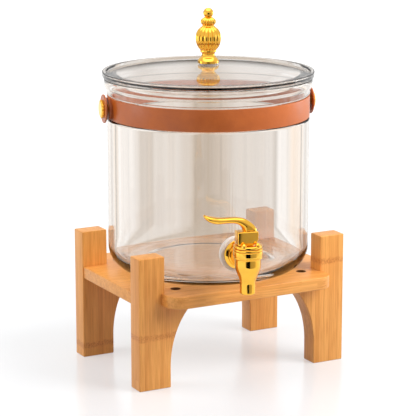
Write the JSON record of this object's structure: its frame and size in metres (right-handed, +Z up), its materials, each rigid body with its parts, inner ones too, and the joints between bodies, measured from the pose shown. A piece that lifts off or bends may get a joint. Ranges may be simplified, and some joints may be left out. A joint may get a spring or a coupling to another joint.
{
  "type": "glass beverage dispenser",
  "caption": "Glass drink jar with a leather band, domed lid and knob, standing on a bamboo stand, with a flip-lever spring valve tap.",
  "frame": {"origin": "middle of the whole object's footprint, on the surface it stands on", "axes": "+Z up, stand squared to X and Y, -Y towards the tap's side, +X to the right of someone who faces that side"},
  "size_m": [0.227, 0.2497, 0.3533],
  "materials": {
    "bamboo": "satin lacquer over side-pressed bamboo",
    "clear_glass": "clear, polished",
    "tan_leather": "smooth tan, matt",
    "polished_gold": "gold-plated, polished",
    "white_silicone": "matt",
    "steel": "plain stainless"
  },
  "bodies": {
    "stand": {"shelf": "bamboo", "leg_front_left": "bamboo", "leg_front_right": "bamboo", "leg_back_left": "bamboo", "leg_back_right": "bamboo", "shelf_screw_front_left": "steel", "shelf_screw_front_right": "steel", "shelf_screw_back_left": "steel", "shelf_screw_back_right": "steel"},
    "jar_unit": {"jar": "clear_glass", "strap_front": "tan_leather", "strap_back": "tan_leather", "strap_disc_inner_left": "tan_leather", "strap_disc_inner_right": "tan_leather", "strap_disc_outer_left": "tan_leather", "strap_disc_outer_right": "tan_leather", "stud_left": "polished_gold", "stud_right": "polished_gold", "stud_spacer_left": "polished_gold", "stud_spacer_right": "polished_gold", "stud_back_left": "steel", "stud_back_right": "steel", "tap_body": "polished_gold", "tap_flange": "polished_gold", "gasket_outer": "white_silicone", "gasket_inner": "white_silicone", "tap_nut": "steel", "bonnet": "polished_gold", "gland_washer": "steel", "stem_o_ring": "white_silicone"},
    "swivel": {"cam_washer": "polished_gold"},
    "stem_unit": {"stem": "steel", "seat_plug": "white_silicone", "spring": "steel", "pivot_pin": "steel"},
    "lever": {"lever": "polished_gold"},
    "lid_unit": {"lid": "clear_glass", "knob": "polished_gold", "knob_washer_upper": "white_silicone", "knob_washer_lower": "white_silicone", "knob_screw": "steel"}
  },
  "joints": [
    {"name": "jar_lift", "type": "slide", "parent": "stand", "child": "jar_unit", "axis": [0, 0, 1], "range_m": [0, 0.2]},
    {"name": "lid_lift", "type": "slide", "parent": "jar_unit", "child": "lid_unit", "axis": [0, 0, 1], "range_m": [0, 0.1]},
    {"name": "lever_swivel", "type": "hinge", "parent": "jar_unit", "child": "swivel", "pos_m": [-0.02922, -0.11105, 0.148], "axis": [0, 0, 1], "range_deg": [-30, 210]},
    {"name": "stem_lift", "type": "slide", "parent": "swivel", "child": "stem_unit", "axis": [0, 0, 1], "range_m": [0, 0.0034], "stiffness_N_per_m": 1074, "springref_m": -0.004, "deforming": ["spring"]},
    {"name": "lever_tilt", "type": "hinge", "parent": "stem_unit", "child": "lever", "pos_m": [-0.02922, -0.11105, 0.1533], "axis": [0.2164, 0.9763, 0], "range_deg": [0, 90]}
  ],
  "couplings": [
    {"joint": "lever_tilt", "follows": "stem_lift", "rad_per_m": 461.99}
  ]
}
